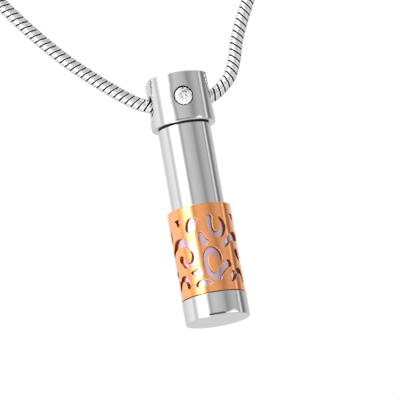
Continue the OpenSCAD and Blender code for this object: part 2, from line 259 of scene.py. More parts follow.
def rounded(corners, steps=5):
    """A profile through corners of radius, height and rounding. Each rounding is the arc that
    touches both sides: it starts rounding times tan(half the turn) before the corner."""
    corners = np.asarray(corners, float)
    way = unit(np.diff(corners[:, :2], axis=0))
    out = np.stack([way[:, 1], -way[:, 0]], 1)
    places, normals = [corners[0, :2]], [out[0]]
    for i in range(1, len(corners) - 1):
        before, after, size = way[i - 1], way[i], corners[i, 2]
        turn = math.atan2(before[0] * after[1] - before[1] * after[0], before @ after)
        if size == 0:
            places += [corners[i, :2]] * 2
            normals += [out[i - 1], out[i]]
            continue
        side = math.copysign(size, turn)
        centre = corners[i, :2] - before * size * math.tan(abs(turn) / 2) - side * out[i - 1]
        start = math.atan2(out[i - 1][1], out[i - 1][0])
        for t in np.linspace(start, start + turn, steps + 1):
            normals.append(np.array([math.cos(t), math.sin(t)]))
            places.append(centre + side * normals[-1])
    places.append(corners[-1, :2])
    normals.append(out[-1])
    return np.array(places), np.array(normals)


def surface(shape, across, along, step=1e-6):
    """A grid of the points that shape gives for each pair of across and along, with the normals of
    the surface there, which are the product of its slopes over small steps either way. Across is
    one row for all, or a row to each value along."""
    u, v = np.broadcast_arrays(across, along[:, None])
    slope_u = shape(u + step, v) - shape(u - step, v)
    slope_v = shape(u, v + step) - shape(u, v - step)
    return patch(shape(u, v), unit(np.cross(slope_u, slope_v)), grid_triangles(*u.shape))


def cut_grid(keep):
    """Cuts a grid of triangles along the line where keep is zero, and leaves what is above it.

    Each triangle with a corner on either side is cut in two where keep, taken as even along its
    sides, is zero. Returns the triangles over the grid's points and, after them, the cut points.
    With them come the two grid points beside each cut point and its share of the way between
    them, and the border's steps."""
    triangles = grid_triangles(*keep.shape)
    value, total = keep.ravel(), keep.size
    inside = value[triangles] > 0
    count = inside.sum(1)

    def led_by(odd, chosen):
        """The chosen triangles, each with its odd corner first."""
        first = odd[chosen].argmax(1)[:, None]
        return np.take_along_axis(triangles[chosen], (first + np.arange(3)) % 3, 1)

    one, two = led_by(inside, count == 1), led_by(~inside, count == 2)
    pairs = np.sort(np.vstack([one[:, [0, 1]], one[:, [0, 2]], two[:, [0, 1]], two[:, [0, 2]]]), 1)
    ends, number = np.unique(pairs[:, 0] * total + pairs[:, 1], return_inverse=True)
    ends = np.stack([ends // total, ends % total], 1)
    share = value[ends[:, 0]] / (value[ends[:, 0]] - value[ends[:, 1]])
    cut = total + number.ravel()
    p, q, r, s = np.split(cut, np.cumsum([len(one), len(one), len(two)]))
    kept = np.vstack([
        triangles[count == 3], np.stack([one[:, 0], p, q], 1),
        np.stack([two[:, 1], two[:, 2], s], 1), np.stack([two[:, 1], s, r], 1)])
    border = np.vstack([np.stack([p, q], 1), np.stack([s, r], 1)]) - total
    return kept, ends, share, border


def between(values, ends, share):
    """The grid's values with, after them, those at the cut points."""
    flat = values.reshape(-1, *values.shape[2:])
    share = share.reshape(-1, *([1] * (flat.ndim - 1)))
    return np.concatenate([flat, flat[ends[:, 0]] * (1 - share) + flat[ends[:, 1]] * share])


def wall(border, near, far, near_normals, far_normals):
    """The strip between two rows of border points, whose steps run with the near surface on their
    left."""
    count = len(near)
    a, b = border[:, 0], border[:, 1]
    triangles = np.vstack([np.stack([b, a, a + count], 1), np.stack([b, a + count, b + count], 1)])
    return patch(np.vstack([near, far]), np.vstack([near_normals, far_normals]), triangles)


def zipped(near, far, near_angle, far_angle, near_normals, far_normals):
    """The strip between two rings round one axis whose points stand at unlike angles. In order of
    angle, each step along a ring makes a triangle with the point reached on the other ring."""
    near_order, far_order = np.argsort(near_angle), np.argsort(far_angle)
    a, b = near_angle[near_order], far_angle[far_order]
    n, m = len(a), len(b)
    i, j = np.arange(n), np.arange(m)
    next_i, next_j = np.roll(i, -1), np.roll(j, -1)
    reached_far = (np.searchsorted(b, a[next_i], side="right") - 1) % m
    reached_near = (np.searchsorted(a, b[next_j], side="left") - 1) % n
    return patch(
        np.vstack([near[near_order], far[far_order]]),
        np.vstack([near_normals[near_order], far_normals[far_order]]),
        np.vstack([np.stack([i, next_i, n + reached_far], 1),
                   np.stack([n + next_j, n + j, reached_near], 1)]))


def facing(piece):
    """The same stretch, its triangles wound to suit its normals."""
    points, normals, triangles = piece
    corner = points[triangles]
    face = np.cross(corner[:, 1] - corner[:, 0], corner[:, 2] - corner[:, 0])
    wrong = np.einsum("ij,ij->i", face, normals[triangles].sum(1)) < 0
    triangles = np.where(wrong[:, None], triangles[:, ::-1], triangles)
    return points, normals, triangles


def set_in_place(mesh, body, node):
    """Puts a finished mesh on its body, in its solid's place."""
    obj = bpy.data.objects.new(mesh.name, mesh)
    bpy.context.scene.collection.objects.link(obj)
    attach(obj, body)
    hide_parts(node)


def make_piece(name, patches, materials, body, node):
    """Joins stretches of surface into one piece: points within a hundredth of a micrometre become
    one, triangles that lose a side go, and each corner keeps its stretch's own normal. patches is a
    list of stretches, each alone or with the place of its material."""
    patches = [entry if isinstance(entry[0], tuple) else (entry, 0) for entry in patches]
    looks = np.concatenate([np.full(len(entry[2]), look) for entry, look in patches])
    patches = [facing(entry) for entry, _ in patches]
    starts = np.cumsum([0] + [len(points) for points, _, _ in patches])
    triangles = np.vstack([faces + start for (_, _, faces), start in zip(patches, starts)])
    normals = np.vstack([ways[faces] for _, ways, faces in patches])
    points = np.vstack([points for points, _, _ in patches])
    cells = np.floor(points / JOINED + OFF_BORDER).astype(np.int64)
    _, first, number = np.unique(cells, axis=0, return_index=True, return_inverse=True)
    triangles = number.ravel()[triangles]
    whole = (triangles != np.roll(triangles, 1, 1)).all(1)
    triangles, normals, looks = triangles[whole], normals[whole], looks[whole]
    used, triangles = np.unique(triangles, return_inverse=True)
    triangles = triangles.reshape(-1, 3)
    mesh = bpy.data.meshes.new(name)
    mesh.from_pydata(points[first][used], [], triangles)
    for material in materials:
        mesh.materials.append(material)
    mesh.polygons.foreach_set("material_index", looks.astype(np.int32))
    mesh.polygons.foreach_set("use_smooth", np.ones(len(triangles), bool))
    mesh.normals_split_custom_set(unit(normals.reshape(-1, 3)).tolist())
    mesh.update()
    set_in_place(mesh, body, node)


# Scales of the polish's rings and patches and of the gold's, the rings' stretch round a piece, and
# the chain's painted light across a link: painted highlight on the faces, painted shade in the gaps
# and groove
RINGS, PATCHES, GOLD_PATCHES, RING_STRETCH = 9000.0, 900.0, 700.0, (0.06, 0.06, 1.0)
LINK_PAINTED_LIGHT_AND_SHADE = ((0.0, 0.02), (0.1, 0.06), (0.18, 1.35), (0.42, 1.45), (0.5, 0.4), (0.58, 1.45),
               (0.82, 1.35), (0.9, 0.06), (1.0, 0.02))


def feed(tree, target, inputs):
    """Gives a node's inputs their values, or the outputs that feed them."""
    for name, value in inputs.items():
        if isinstance(value, bpy.types.NodeSocket):
            tree.links.new(value, target.inputs[name])
        else:
            target.inputs[name].default_value = value


def add_node(tree, kind, inputs, **settings):
    """A new node of this kind with its settings and its inputs, by name or place."""
    made = tree.nodes.new("ShaderNode" + kind)
    for name, value in settings.items():
        setattr(made, name, value)
    feed(tree, made, inputs)
    return made


def combined(tree, operation, *values):
    """The output of a Math node over numbers and other nodes' outputs."""
    return add_node(tree, "Math", dict(enumerate(values)), operation=operation).outputs[0]


def soft_step(tree, value, start, end):
    """Nothing where the value is at start, one where it is at end, eased at both."""
    step = add_node(tree, "MapRange", {"Value": value, "From Min": start, "From Max": end},
                    interpolation_type="SMOOTHSTEP")
    return step.outputs["Result"]


def blended(tree, share, first, second):
    """The first value where the share is nothing, the second where it is one."""
    kept = combined(tree, "MULTIPLY", combined(tree, "SUBTRACT", 1.0, share), first)
    return combined(tree, "ADD", kept, combined(tree, "MULTIPLY", share, second))


def tinted(tree, share, first, second):
    """The first colour where the share is nothing, the second where it is one."""
    return add_node(tree, "Mix", {"Factor": share, "A": (*first, 1), "B": (*second, 1)},
                    data_type="RGBA").outputs["Result"]


def colour_ramp(tree, share, stops):
    """The colour at a share of the way along a row of stops, each a place and a colour."""
    ramp = add_node(tree, "ValToRGB", {"Fac": share})
    elements = ramp.color_ramp.elements
    while len(elements) < len(stops):
        elements.new(0.5)
    for element, (place, stop) in zip(elements, stops):
        element.position = place
        element.color = (*stop, 1)
    return ramp.outputs["Color"]


def noise(tree, place, scale, detail):
    """Noise of this scale over a place."""
    node = add_node(tree, "TexNoise", {"Vector": place, "Scale": scale, "Detail": detail})
    return node.outputs["Fac"]


def height_at(rise):
    """The height of a direction of length one that is so many degrees above the horizon."""
    return math.sin(math.radians(rise))


def polish_group():
    """Node group of the faint marks of polishing: fine rings left by turning and soft patches.

    Rings are noise over the height, stretched round the piece, and patches are noise of equal size
    all ways. The group puts out a roughness between Low and High, and a height for a bump."""
    name = "polish_marks"
    if name in bpy.data.node_groups:
        return bpy.data.node_groups[name]
    tree = bpy.data.node_groups.new(name, "ShaderNodeTree")
    sockets = tree.interface
    sockets.new_socket(name="Coordinates", in_out="INPUT", socket_type="NodeSocketVector")
    for entry, default in (("Rings", RINGS), ("Patches", PATCHES), ("Low", 0.05), ("High", 0.12)):
        made = sockets.new_socket(name=entry, in_out="INPUT", socket_type="NodeSocketFloat")
        made.default_value = default
    for leave in ("Roughness", "Height"):
        sockets.new_socket(name=leave, in_out="OUTPUT", socket_type="NodeSocketFloat")
    entry, leave = tree.nodes.new("NodeGroupInput").outputs, tree.nodes.new("NodeGroupOutput")
    around = add_node(tree, "VectorMath", {0: entry["Coordinates"], 1: RING_STRETCH},
                      operation="MULTIPLY")
    rings = noise(tree, around.outputs[0], entry["Rings"], 3.0)
    patches = noise(tree, entry["Coordinates"], entry["Patches"], 2.0)
    spread = add_node(tree, "MapRange", {
        "Value": combined(tree, "MULTIPLY", rings, patches), "From Min": 0.1, "From Max": 0.45,
        "To Min": entry["Low"], "To Max": entry["High"]})
    feed(tree, leave, {"Roughness": spread.outputs["Result"], "Height": rings})
    return tree


def new_material(name, inputs):
    """A node material with these inputs to its Principled shader: the material, its tree, the
    shader."""
    material = bpy.data.materials.new(name)
    material.use_nodes = True
    tree = material.node_tree
    shader = next(n for n in tree.nodes if n.type == "BSDF_PRINCIPLED")
    feed(tree, shader, inputs)
    return material, tree, shader


def polished(name, inputs, low, high, rings=RINGS, bump=0.002):
    """A material with the polish marks in its roughness, and a bump of the fine rings: the
    material, its tree, the shader and the place on the piece."""
    material, tree, shader = new_material(name, inputs)
    place = add_node(tree, "TexCoord", {}).outputs["Object"]
    inputs = {"Coordinates": place, "Low": low, "High": high, "Rings": rings}
    marks = add_node(tree, "Group", inputs, node_tree=polish_group()).outputs
    lift = add_node(tree, "Bump", {
        "Strength": bump, "Distance": 0.0001, "Height": marks["Height"]}).outputs["Normal"]
    feed(tree, shader, {"Roughness": marks["Roughness"], "Normal": lift})
    return material, tree, shader, place


def polished_steel():
    """Mirror-polished stainless steel with the faintest turning marks, and a painted reflection and
    shade of the sleeve: its colour turns a little violet where the sleeve surrounds the tube."""
    if "mirror_steel" in bpy.data.materials:
        return bpy.data.materials["mirror_steel"]
    colours = bpy.context.scene.finish_colours
    material, tree, shader, place = polished("mirror_steel", {"Metallic": 1.0}, 0.03, 0.07)
    height = add_node(tree, "SeparateXYZ", {0: place}).outputs["Z"]
    soft = 0.1 * MM
    # Painted reflection and shade of the sleeve, over the heights that it covers
    painted_reflection_share = combined(
        tree, "MULTIPLY", soft_step(tree, height, SLEEVE_HIGH.z + soft, SLEEVE_HIGH.z - soft),
        combined(tree, "GREATER_THAN", height, SLEEVE_LOW.z))
    tint = tinted(tree, painted_reflection_share, colours.steel, colours.painted_sleeve_reflection)
    feed(tree, shader, {"Base Color": tint})
    return material


def rose_gold():
    """Polished rose gold plate, its colour a little deeper and paler in soft patches."""
    lacquered = {"Metallic": 1.0, "Coat Weight": 1.0, "Coat Roughness": 0.08}
    material, tree, shader, place = polished("rose_gold_plate", lacquered, 0.1, 0.18, bump=0.01)
    gold = np.array(bpy.context.scene.finish_colours.gold)
    tint = tinted(tree, noise(tree, place, GOLD_PATCHES, 2.0), gold * (1.0, 0.9, 0.85),
                  np.minimum(gold * (1.0, 1.1, 1.15), 1))
    feed(tree, shader, {"Base Color": tint})
    return material


def painted_shade_gold():
    """Deep rose gold with painted shade, for the walls of the pierced openings and the sleeve's
    lower edge.
    """
    gold = (*bpy.context.scene.finish_colours.painted_shade_gold, 1)
    return polished("painted_shade_gold", {"Metallic": 1.0, "Base Color": gold}, 0.25, 0.35)[0]


def chain_steel():
    """Steel of the chain with painted light: a painted highlight on each link's face, and painted
    shade where the links close on each other and down each link's middle. The map's second value
    runs across a link, from edge to edge."""
    material, tree, shader, _ = polished(
        "link_steel", {"Metallic": 1.0}, 0.12, 0.22, rings=4000.0, bump=0.01)
    across = add_node(tree, "UVMap", {}, uv_map="across")
    share = add_node(tree, "SeparateXYZ", {0: across.outputs[0]}).outputs["Y"]
    steel = np.array(bpy.context.scene.finish_colours.steel)
    # Painted highlight and shade across each link, as shares of the steel's colour
    painted_link_light = colour_ramp(tree, share, [(place, steel * shade) for place, shade in LINK_PAINTED_LIGHT_AND_SHADE])
    feed(tree, shader, {"Base Color": painted_link_light})
    return material


def painted_hole_shadow():
    """Painted shadow: near-black and dull, for the inside of the stone's seat and the walls of the
    chain's eye.
    """
    shadow = (*bpy.context.scene.finish_colours.shadow, 1)
    inputs = {"Metallic": 0.0, "Base Color": shadow, "Specular IOR Level": 0.05}
    return polished("painted_hole_shadow", inputs, 0.45, 0.6)[0]


def clear_stone():
    """Clear, strongly refracting stone with clean facets."""
    stone = (*bpy.context.scene.finish_colours.stone, 1)
    return new_material("cut_crystal", {
        "Metallic": 0.0, "Base Color": stone, "Roughness": 0.0, "IOR": 2.15,
        "Transmission Weight": 1.0})[0]


def seal_rubber():
    """Matt black rubber with a fine grain."""
    black = (*bpy.context.scene.finish_colours.seal, 1)
    inputs = {"Metallic": 0.0, "Base Color": black}
    return polished("black_rubber", inputs, 0.5, 0.7, bump=0.1)[0]


def thread_shape(radius, depth, pitch, low, high):
    """A thread's surface over angle, in thousandths, and height: the radius less depth times a wave
    that climbs one pitch a turn, and fades out over half a pitch at both ends."""
    def shape(across, height):
        """The point of the thread there."""
        angle = across / MM
        wave = 0.5 - 0.5 * np.cos(2 * math.pi * height / pitch - angle)
        reach = pitch / 2
        fade = np.clip((height - low) / reach, 0, 1) * np.clip((high - height) / reach, 0, 1)
        return round_about(radius - depth * wave * fade, angle, height)
    return shape


def flat_plane(sizes, height):
    """Distance of a flat from the cap's axis: below the flat's length it runs out along an arc."""
    fall = np.clip(CAP_HIGH.z - sizes.flat_length - height, 0, sizes.flat_sweep)
    return (CAP_HIGH.y - sizes.flat_depth + sizes.flat_sweep
            - np.sqrt(sizes.flat_sweep**2 - fall**2))


def cap_angles(sizes, height):
    """A row of angles round the cap for each height. In each quarter most columns follow the edge
    of the flat: wide steps before it, fine ones across it and even ones over the flat."""
    before, across, over = 44, 12, 30
    furthest, blend = math.radians(84), math.radians(1.8)
    steps = np.cumsum([0, before, across, over])
    edge = np.arcsin(np.clip(flat_plane(sizes, height) / CAP_HIGH.y, 0, math.sin(furthest)))
    knots = np.stack([0 * edge, edge - blend, edge + blend, 0 * edge + math.pi / 2], 1)
    places = np.arange(steps[-1] + 1)
    quarter = np.array([np.interp(places, steps, row) for row in knots])
    half = np.concatenate([quarter, math.pi - quarter[:, -2::-1]], 1)
    return np.concatenate([-half[:, :0:-1], half], 1)


def cap_wall_radius(sizes, angle, height):
    """The cap's radius at an angle and height: the round wall, less a shallow dish round the stone,
    or the flat's plane where that is nearer, with the two blended over the flat's rounding.
    Near the rim the wall falls inwards by the square of the height still to go."""
    radius = CAP_HIGH.y
    flat = flat_plane(sizes, height) / np.maximum(np.abs(np.sin(angle)), 1e-3)
    from_stone = np.hypot(radius * np.sin(angle), height - EYE_Z)
    front = np.cos(angle) > 0
    reach = np.maximum(from_stone - sizes.seat_radius, 0) / sizes.dish_reach
    above = height - sizes.shoulder_z - sizes.lip_round
    to_rim = np.clip(sizes.rim_reach - above, 0, sizes.rim_reach)
    dished = (radius - sizes.dish_depth * np.exp(-reach**2) * front
              - sizes.rim_lean * to_rim**2 / (2 * sizes.rim_reach))
    blend = sizes.flat_rounding
    share = np.clip(0.5 + 0.5 * (flat - dished) / blend, 0, 1)
    return flat * (1 - share) + dished * share - blend * share * (1 - share)


def hole_lining(mouth, down, rounding, radius, floor):
    """The rounded mouth and plain wall of a hole at the eye's height. From the mouth's points,
    whose normals and steps are given, the surface turns inwards by a quarter round and sinks along
    down. Then the wall runs at its radius to the floor's place. Also gives the wall's last ring,
    and the circle of length one that it follows."""
    start, ways, steps = mouth
    inward = unit((start - (0, 0, EYE_Z)) * (np.abs(down) - 1))
    strips, ring, ring_ways = [], start, ways
    for t in QUARTER[1:]:
        moved = start + inward * rounding * math.sin(t) + down * rounding * (1 - math.cos(t))
        moved_ways = unit(ways * math.cos(t) + inward * math.sin(t))
        strips.append(wall(steps, ring, moved, ring_ways, moved_ways))
        ring, ring_ways = moved, moved_ways
    level = int(down[0] != 0)
    even = np.linspace(-math.pi, math.pi, HOLE_SIDES + 1)[:-1] + HOLE_TURN
    circle = np.zeros((HOLE_SIDES, 3))
    circle[:, level], circle[:, 2] = np.cos(even), np.sin(even)
    last = circle * radius + floor
    angle = np.arctan2(ring[:, 2] - EYE_Z, ring[:, level])
    # The plain wall takes the second material, the painted shadow
    strips.append((zipped(ring, last, angle, even, inward, -circle), 1))
    return strips, last, circle


class PENDANT_OT_cap(bpy.types.Operator):
    """Steel cap: round wall with two flats, an eye for the chain, a seat for the stone, a thread"""

    bl_idname = "pendant.cap"
    bl_label = "Cap"

    def execute(self, context):
        s = context.scene.pendant_sizes
        low, high = s.shoulder_z + s.lip_round, CAP_HIGH.z - s.edge

        def shape(across, height):
            """The wall over angle, in thousandths, and height."""
            return round_about(cap_wall_radius(s, across / MM, height), across / MM, height)

        along = np.linspace(low, high, CAP_ROWS)
        angles = cap_angles(s, along)
        points, normals, _ = surface(shape, angles * MM, along)
        points, normals = points.reshape(*angles.shape, 3), normals.reshape(*angles.shape, 3)
        x, y, z = np.moveaxis(points, -1, 0)
        from_eye = np.hypot(y, z - EYE_Z)
        from_seat = np.where(y < 0, np.hypot(x, z - EYE_Z), 1)
        keep = np.minimum(
            np.where(np.abs(x) > s.eye_radius, from_eye - s.eye_radius - s.eye_rounding, 1),
            from_seat - s.seat_radius - s.seat_rounding)
        triangles, ends, share, border = cut_grid(keep)
        all_points = between(points, ends, share)
        all_normals = unit(between(normals, ends, share))
        patches = [patch(all_points, all_normals, triangles)]
        self.holes(s, patches, all_points[keep.size:], all_normals[keep.size:], border)
        self.top(s, patches, points[-1], normals[-1])
        self.thread(s, patches, low, angles[0])
        make_piece("cap_body", patches, [polished_steel(), painted_hole_shadow()], "pendant", "cap")
        return {"FINISHED"}

    def holes(self, s, patches, points, normals, border):
        """The eye's two mouths, and the stone's seat with a cone under the stone."""
        def mouth(here):
            """The points, normals and steps of the border here."""
            numbers = np.cumsum(here) - 1
            return points[here], normals[here], numbers[border[here[border[:, 0]]]]

        for side in (-1, 1):
            down = np.array((-side, 0, 0))
            patches += hole_lining(mouth(points[:, 0] * side > s.eye_radius), down, s.eye_rounding,
                                   s.eye_radius, (0, 0, EYE_Z))[0]
        near = s.seat_radius + 2 * s.seat_rounding
        girdle_y = STONE_LOW.y + STONE_CROWN + STONE_GIRDLE
        strips, rim, circle = hole_lining(
            mouth((np.abs(points[:, 0]) < near) & (points[:, 1] < 0)), np.array((0, 1, 0)),
            s.seat_rounding, s.seat_radius, (0, girdle_y, EYE_Z))
        depth = STONE_HIGH.y - girdle_y
        tip = girdle_y + depth * s.seat_radius / (STONE_DIAMETER / 2)
        cone = np.stack([rim, np.broadcast_to((0, tip, EYE_Z), rim.shape)])
        slope = unit(-circle * depth + (0, -s.seat_radius, 0))
        closed = np.arange(HOLE_SIDES + 1) % HOLE_SIDES
        cone = patch(cone[:, closed], np.stack([slope[closed]] * 2), grid_triangles(2, len(closed)))
        # The seat's cone takes the painted shadow too
        patches += [*strips, (cone, 1)]

    def top(self, s, patches, rim, normals):
        """The rounding over the wall's last row, and the flat top in rings of shrinking shares."""
        up, out = np.array((0.0, 0.0, 1.0)), unit(rim * (1, 1, 0))
        rings = [rim] + [rim - out * s.edge * (1 - math.cos(t)) + up * s.edge * math.sin(t)
                         for t in QUARTER[1:]]
        ways = [normals] + [unit(normals * math.cos(t) + up * math.sin(t)) for t in QUARTER[1:]]
        rings += [rings[-1] * (share, share, 1) for share in (0.66, 0.33, 0.0)]
        ways += [np.broadcast_to(up, rim.shape)] * 3
        patches.append(patch(np.array(rings), np.array(ways), grid_triangles(len(rings), len(rim))))

    def thread(self, s, patches, low, angles):
        """The plug with its thread, and the rim from the plug to the wall."""
        radius = s.chamber_radius - GAP
        thread_low, thread_high = CAP_LOW.z + 2 * s.edge, s.shoulder_z - s.edge
        places, ways = rounded([
            (0, CAP_LOW.z, 0), (radius, CAP_LOW.z, s.edge), (radius, thread_low, 0)])
        rim_r = cap_wall_radius(s, 0.0, low)
        rim = rounded([
            (radius, thread_high, 0), (radius, s.shoulder_z, 0),
            (rim_r - s.rim_lean * s.lip_round, s.shoulder_z, s.lip_round), (rim_r, low, 0),
        ], steps=10)
        patches += [turned((places[:-1], ways[:-1]), angles), turned(rim, angles), surface(
            thread_shape(radius, s.thread_depth, s.thread_pitch, thread_low, thread_high),
            angles * MM, np.linspace(places[-2][1], thread_high, PLUG_ROWS))]


# The stone's cut: its diameter, the heights of its crown, girdle and pavilion, the number of its
# main facets, and the radii of its table, stars and lower facets as shares of its own
STONE_DIAMETER = STONE_HIGH.x - STONE_LOW.x
STONE_CROWN = STONE_DIAMETER * 0.15
STONE_GIRDLE = STONE_DIAMETER * 0.03
STONE_PAVILION = STONE_DIAMETER * 0.42
STONE_MAINS, STONE_TABLE, STONE_STAR, STONE_LOW_FACET = 8, 0.55, 0.76, 0.3


class PENDANT_OT_stone(bpy.types.Operator):
    """Round brilliant in the cap's front, with flat facets"""

    bl_idname = "pendant.stone"
    bl_label = "Stone"

    def execute(self, context):
        mains, wide = STONE_MAINS, 2 * STONE_MAINS

        def ring(share, count, turn, height):
            """Corners at a share of the radius, turned by a share of a step."""
            angle = (np.arange(count) + turn) * 2 * math.pi / count
            radius = STONE_DIAMETER / 2 * share
            return np.stack([radius * np.cos(angle), np.full(count, -height),
                             radius * np.sin(angle)], 1)

        half = math.cos(math.pi / mains)
        star_height = STONE_CROWN * (1 - STONE_STAR * half) / (1 - STONE_TABLE)
        low_height = -STONE_GIRDLE - STONE_PAVILION * (1 - STONE_LOW_FACET * half)
        points = np.vstack([
            ring(STONE_TABLE, mains, 0, STONE_CROWN), ring(STONE_STAR, mains, 0.5, star_height),
            ring(1, wide, 0, 0), ring(1, wide, 0, -STONE_GIRDLE),
            ring(STONE_LOW_FACET, mains, 0.5, low_height),
            np.array([[0, STONE_GIRDLE + STONE_PAVILION, 0]])])
        star, top, low, lower, tip = (mains * k for k in (1, 2, 4, 6, 7))
        i, k = np.arange(mains), np.arange(wide)
        after, before, beside = (i + 1) % mains, (i - 1) % mains, (k + 1) % wide
        faces = [i[::-1].tolist()]
        for corners in (
                (i, after, star + i), (i, star + i, top + 2 * i, star + before),
                (star + i, top + 2 * i + 1, top + 2 * i),
                (star + i, top + (2 * i + 2) % wide, top + 2 * i + 1),
                (top + k, top + beside, low + beside, low + k),
                (lower + i, low + 2 * i, low + 2 * i + 1),
                (lower + i, low + 2 * i + 1, low + (2 * i + 2) % wide),
                (np.full(mains, tip), lower + before, low + 2 * i, lower + i)):
            faces += np.stack(corners, 1).tolist()
        girdle_y = STONE_LOW.y + STONE_CROWN
        mesh = bpy.data.meshes.new("brilliant")
        mesh.from_pydata(points + (0, girdle_y, EYE_Z), [], faces)
        mesh.materials.append(clear_stone())
        mesh.update()
        centre = Vector((0, girdle_y + STONE_PAVILION / 4, EYE_Z))
        if sum((f.center - centre).dot(f.normal) for f in mesh.polygons) < 0:
            mesh.flip_normals()
        set_in_place(mesh, "pendant", "stone")
        return {"FINISHED"}


class PENDANT_OT_seal(bpy.types.Operator):
    """Thin black ring between the cap and the tube"""

    bl_idname = "pendant.seal"
    bl_label = "Seal"

    def execute(self, context):
        s = context.scene.pendant_sizes
        soft = 0.05 * MM
        mid = (SEAL_LOW.z + SEAL_HIGH.z) / 2
        outer = SEAL_HIGH.x
        ring = rounded([
            (s.chamber_radius, mid, 0), (s.chamber_radius, SEAL_LOW.z, soft),
            (outer, SEAL_LOW.z, soft), (outer, SEAL_HIGH.z, soft),
            (s.chamber_radius, SEAL_HIGH.z, soft), (s.chamber_radius, mid, 0)])
        make_piece("seal_ring", [turned(ring, full_turn(SEAL_COLUMNS))], [seal_rubber()],
                   "pendant", "seal")
        return {"FINISHED"}


class PENDANT_OT_tube(bpy.types.Operator):
    """Steel tube with its threaded mouth, ash chamber and wider foot"""

    bl_idname = "pendant.tube"
    bl_label = "Tube and foot"

    def execute(self, context):
        s = context.scene.pendant_sizes
        angles = full_turn(TUBE_COLUMNS)
        foot_r, foot_low = TUBE_HIGH.x, TUBE_LOW.z
        foot_high = SLEEVE_LOW.z - GAP
        tube_r, tube_high = s.tube_radius, TUBE_HIGH.z
        thread_low, thread_high = tube_high - THREAD_LENGTH, tube_high - 2 * s.edge
        floor = foot_low + s.chamber_floor
        seat_high = SLEEVE_HIGH.z - s.edge
        bend = foot_low + s.edge + s.rim_reach / 2
        outside = rounded([
            (0, foot_low, 0), (foot_r - s.rim_lean * (bend - foot_low), foot_low, s.edge),
            (foot_r, bend, s.rim_reach / s.rim_lean),
            (foot_r, foot_high, s.edge), (s.sleeve_seat, foot_high, 0),
            (s.sleeve_seat, seat_high, s.edge), (tube_r, seat_high, 0),
            (tube_r, tube_high, s.edge / 3), (s.chamber_radius, tube_high, s.edge),
            (s.chamber_radius, thread_high, 0)], steps=6)
        inside = rounded([
            (s.chamber_radius, thread_low, 0),
            (s.chamber_radius, floor + DRILL_CONE * s.chamber_radius, 0), (0, floor, 0)])
        bore = thread_shape(
            s.chamber_radius, -s.thread_depth, s.thread_pitch, thread_low, thread_high)
        points, normals, triangles = surface(
            bore, angles * MM, np.linspace(thread_low, thread_high, BORE_ROWS))
        patches = [turned(outside, angles), turned(inside, angles), (points, -normals, triangles)]
        make_piece("tube_and_foot", patches, [polished_steel()], "urn", "urn_tube")
        return {"FINISHED"}


def pierced_distance(x, y, height, arc):
    """The distance from each point of the unrolled sleeve to the nearest opening's edge, less than
    nothing inside it. A stroke is a row of rounded bars whose width changes evenly: the distance to
    a bar is that to the nearest point of its line, less the bar's half width there."""
    best = np.full(x.shape, 1.0)
    width = 2 * math.pi / REPEATS * arc
    for rows in STROKES.values():
        line = smooth_rows(rows, 3)
        px, py, half = (np.radians(line[:, 0]) * arc, line[:, 1] * height / 100,
                        line[:, 2] * height / 200)
        for shift in (-width, 0, width):
            for k in range(len(line) - 1):
                ax, ay = px[k] + shift, py[k]
                dx, dy = px[k + 1] - px[k], py[k + 1] - py[k]
                t = np.clip(((x - ax) * dx + (y - ay) * dy) / (dx * dx + dy * dy), 0, 1)
                gap = np.hypot(x - ax - t * dx, y - ay - t * dy) - half[k]
                best = np.minimum(best, gap - t * (half[k + 1] - half[k]))
    return best


